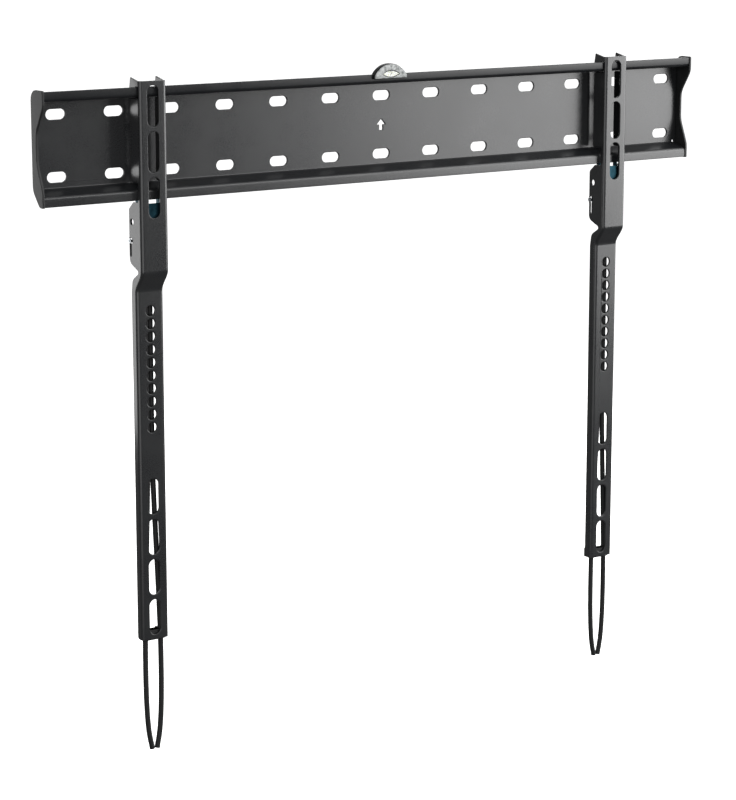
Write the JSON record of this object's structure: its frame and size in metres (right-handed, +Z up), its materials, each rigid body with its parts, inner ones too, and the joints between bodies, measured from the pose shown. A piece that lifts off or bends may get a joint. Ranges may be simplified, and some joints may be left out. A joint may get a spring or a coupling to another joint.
{
  "type": "fixed television wall mount",
  "caption": "Slim wall mount for a television: a folded, slotted wall plate with two hook-on arms, sprung latches, pull cords and a clip-on bubble level.",
  "frame": {"origin": "on the wall plane, at the middle of the wall plate between its two rows of slots", "axes": "+X along the plate to the viewer's right, +Y into the wall, +Z up"},
  "size_m": [0.64, 0.0217, 0.5448],
  "materials": {
    "black_paint": "semi-gloss black powder coat",
    "black_plastic": "moulded satin black",
    "frosted_plastic": "frosted light grey",
    "clear_plastic": "clear moulded",
    "vial_liquid": "pale green liquid",
    "dark_zinc": "dark blue-black zinc plate",
    "steel": "bright zinc",
    "black_cord": "braided nylon"
  },
  "bodies": {
    "plate": {"wall_plate": "black_paint", "end_cap_left": "black_plastic", "end_cap_right": "black_plastic", "level_clip": "black_plastic", "level_face": "frosted_plastic", "level_vial": "clear_plastic", "level_liquid": "vial_liquid"},
    "left_arm": {"arm_left": "black_paint", "spring_post_left": "steel", "return_spring_left": "steel", "cord_guide_left": "black_plastic"},
    "left_latch": {"latch_left": "dark_zinc", "guide_pin_left": "steel", "cord_left_outer": "black_cord", "cord_left_inner": "black_cord", "cord_knot_left": "black_cord"},
    "right_arm": {"arm_right": "black_paint", "spring_post_right": "steel", "return_spring_right": "steel", "cord_guide_right": "black_plastic"},
    "right_latch": {"latch_right": "dark_zinc", "guide_pin_right": "steel", "cord_right_outer": "black_cord", "cord_right_inner": "black_cord", "cord_knot_right": "black_cord"}
  },
  "joints": [
    {"name": "left_arm_slide", "type": "slide", "parent": "plate", "child": "left_arm", "axis": [1, 0, 0], "range_m": [-0.073, 0.192]},
    {"name": "right_arm_slide", "type": "slide", "parent": "plate", "child": "right_arm", "axis": [1, 0, 0], "range_m": [-0.206, 0.066]},
    {"name": "left_latch_slide", "type": "slide", "parent": "left_arm", "child": "left_latch", "axis": [0, 0, 1], "range_m": [-0.011, 0], "stiffness_N_per_m": 300, "springref_m": 0.01, "deforming": ["return_spring_left"]},
    {"name": "right_latch_slide", "type": "slide", "parent": "right_arm", "child": "right_latch", "axis": [0, 0, 1], "range_m": [-0.011, 0], "stiffness_N_per_m": 300, "springref_m": 0.01, "deforming": ["return_spring_right"]}
  ]
}
